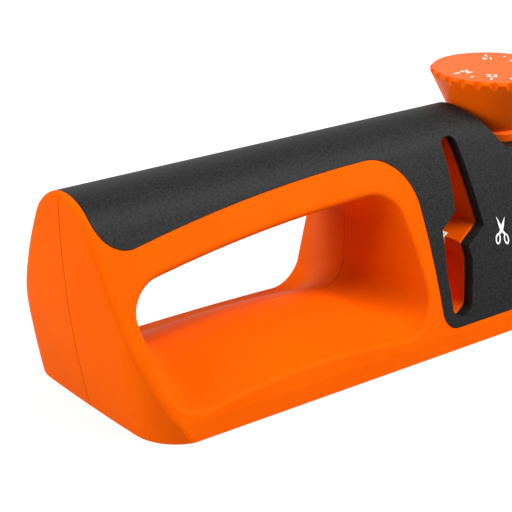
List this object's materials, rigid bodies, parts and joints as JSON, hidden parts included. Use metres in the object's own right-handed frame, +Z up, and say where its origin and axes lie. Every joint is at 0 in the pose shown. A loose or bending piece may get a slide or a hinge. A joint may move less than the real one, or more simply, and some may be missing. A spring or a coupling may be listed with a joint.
{
  "type": "knife and scissor sharpener",
  "caption": "Table-top pull-through sharpener with knife slots, a kinked scissors slot, a finger-loop handle and a press-and-turn knob that tilts the abrasive arms.",
  "frame": {"origin": "centre of the bounding box in plan, on the table plane under the rubber feet", "axes": "+X along the length from the handle to the knife slots, +Y towards the rear side, +Z up along the knob's axis"},
  "size_m": [0.234, 0.0664, 0.0681],
  "materials": {
    "orange_abs": "satin moulded plastic",
    "black_grip": "fine-grained matt plastic",
    "black_plastic": "plain moulded plastic",
    "grey_plastic": "plain moulded plastic",
    "white_acetal": "smooth low-friction plastic",
    "foot_rubber": "soft matt rubber",
    "screw_steel": "zinc plated",
    "pin_steel": "ground steel",
    "spring_steel": "tempered spring steel",
    "white_ceramic": "fired ceramic",
    "diamond_grit": "diamond grit bonded to steel",
    "carbide": "ground tungsten carbide"
  },
  "bodies": {
    "housing": {"front_shell": "orange_abs", "rear_shell": "orange_abs", "top_cover": "black_grip", "bottom_plate": "black_plastic", "rubber_feet": "foot_rubber", "base_screws": "screw_steel", "carrier_screws": "screw_steel", "shell_screws": "screw_steel", "arm_carrier": "grey_plastic", "pivot_pins": "pin_steel", "bearing_plate": "grey_plastic", "detent_spring": "spring_steel", "scissor_rods": "white_ceramic"},
    "spindle": {"spindle": "pin_steel", "detent_wheel": "white_acetal", "knob_screw": "screw_steel", "knob_spring": "spring_steel"},
    "knob": {"knob": "orange_abs", "dial_cap": "orange_abs"},
    "lifter": {"lifter": "white_acetal", "lifter_pegs": "pin_steel"},
    "coarse_left": {"coarse_arm_left": "black_plastic", "coarse_stone_left": "diamond_grit"},
    "coarse_right": {"coarse_arm_right": "black_plastic", "coarse_stone_right": "diamond_grit"},
    "medium_left": {"medium_arm_left": "black_plastic", "medium_stone_left": "carbide"},
    "medium_right": {"medium_arm_right": "black_plastic", "medium_stone_right": "carbide"},
    "fine_left": {"fine_arm_left": "black_plastic", "fine_stone_left": "white_ceramic"},
    "fine_right": {"fine_arm_right": "black_plastic", "fine_stone_right": "white_ceramic"}
  },
  "joints": [
    {"name": "knob_turn", "type": "hinge", "parent": "housing", "child": "spindle", "pos_m": [0.0325, 0, 0.05], "axis": [0, 0, 1], "range_deg": [-144, 96], "deforming": ["detent_spring"]},
    {"name": "knob_press", "type": "slide", "parent": "spindle", "child": "knob", "axis": [0, 0, -1], "range_m": [0, 0.0025], "stiffness_N_per_m": 700, "springref_m": -0.003, "deforming": ["knob_spring"]},
    {"name": "lifter_slide", "type": "slide", "parent": "housing", "child": "lifter", "axis": [0, 0, 1], "range_m": [-0.00045, 0.00065]},
    {"name": "coarse_left_tilt", "type": "hinge", "parent": "housing", "child": "coarse_left", "pos_m": [0.0595, 0, 0.02], "axis": [0, 1, 0], "range_deg": [-4.2, 6.2]},
    {"name": "coarse_right_tilt", "type": "hinge", "parent": "housing", "child": "coarse_right", "pos_m": [0.0595, 0, 0.02], "axis": [0, 1, 0], "range_deg": [-6.2, 4.2]},
    {"name": "medium_left_tilt", "type": "hinge", "parent": "housing", "child": "medium_left", "pos_m": [0.0755, 0, 0.02], "axis": [0, 1, 0], "range_deg": [-4.2, 6.2]},
    {"name": "medium_right_tilt", "type": "hinge", "parent": "housing", "child": "medium_right", "pos_m": [0.0755, 0, 0.02], "axis": [0, 1, 0], "range_deg": [-6.2, 4.2]},
    {"name": "fine_left_tilt", "type": "hinge", "parent": "housing", "child": "fine_left", "pos_m": [0.0915, 0, 0.02], "axis": [0, 1, 0], "range_deg": [-4.2, 6.2]},
    {"name": "fine_right_tilt", "type": "hinge", "parent": "housing", "child": "fine_right", "pos_m": [0.0915, 0, 0.02], "axis": [0, 1, 0], "range_deg": [-6.2, 4.2]}
  ],
  "couplings": [
    {"joint": "lifter_slide", "follows": "knob_turn", "m_per_rad": -0.00024167},
    {"joint": "coarse_left_tilt", "follows": "knob_turn", "ratio": -0.041667},
    {"joint": "coarse_right_tilt", "follows": "knob_turn", "ratio": 0.041667},
    {"joint": "medium_left_tilt", "follows": "knob_turn", "ratio": -0.041667},
    {"joint": "medium_right_tilt", "follows": "knob_turn", "ratio": 0.041667},
    {"joint": "fine_left_tilt", "follows": "knob_turn", "ratio": -0.041667},
    {"joint": "fine_right_tilt", "follows": "knob_turn", "ratio": 0.041667}
  ]
}
